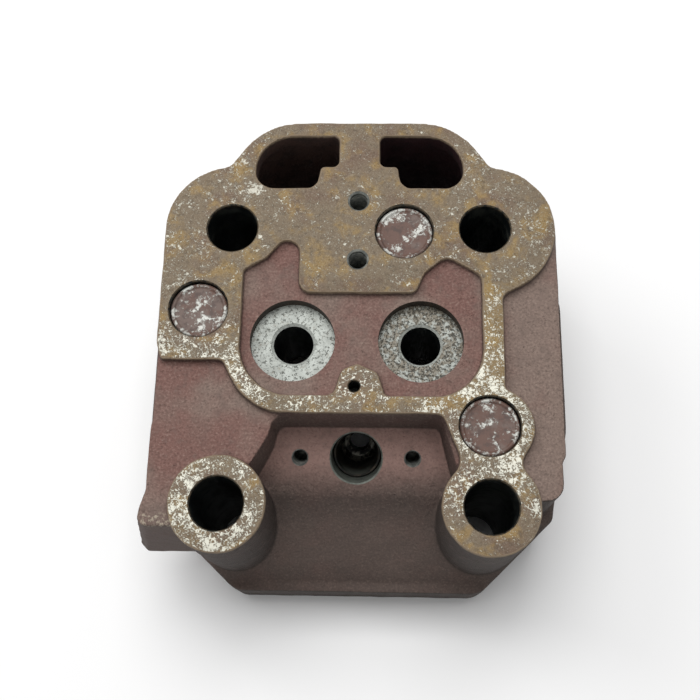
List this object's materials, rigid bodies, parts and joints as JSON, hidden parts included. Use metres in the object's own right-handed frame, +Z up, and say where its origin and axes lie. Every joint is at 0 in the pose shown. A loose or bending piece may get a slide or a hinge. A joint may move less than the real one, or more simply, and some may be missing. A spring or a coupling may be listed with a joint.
{
  "type": "cylinder head",
  "caption": "Bare cast-iron diesel cylinder head with valve well, sloped injector platform, pushrod openings, water jacket, pressed core plugs, valve seats and injector sleeve.",
  "frame": {"origin": "on the fire deck, at the middle of the four head studs (the cylinder axis)", "axes": "+Z up to the rocker side, +Y to the pushrod side, +X to the exhaust side"},
  "size_m": [0.1555, 0.1644, 0.08],
  "materials": {
    "cast_iron": "oxide-primed rough casting with rust-stained machined faces",
    "plug_steel": "pressed steel with rust bloom and worn bright patches",
    "seat_steel": "ground hard steel, slightly stained",
    "sleeve_copper": "dull drawn copper, darkened",
    "seal_rubber": "matt black"
  },
  "bodies": {
    "root": {"head_casting": "cast_iron", "core_plug_left": "plug_steel", "core_plug_rear": "plug_steel", "core_plug_right": "plug_steel", "core_plug_intake_side": "plug_steel", "core_plug_exhaust_side": "plug_steel", "intake_valve_seat": "seat_steel", "exhaust_valve_seat": "seat_steel", "injector_sleeve": "sleeve_copper", "sleeve_seal_ring": "seal_rubber", "oil_gallery_plug": "plug_steel"}
  },
  "joints": []
}
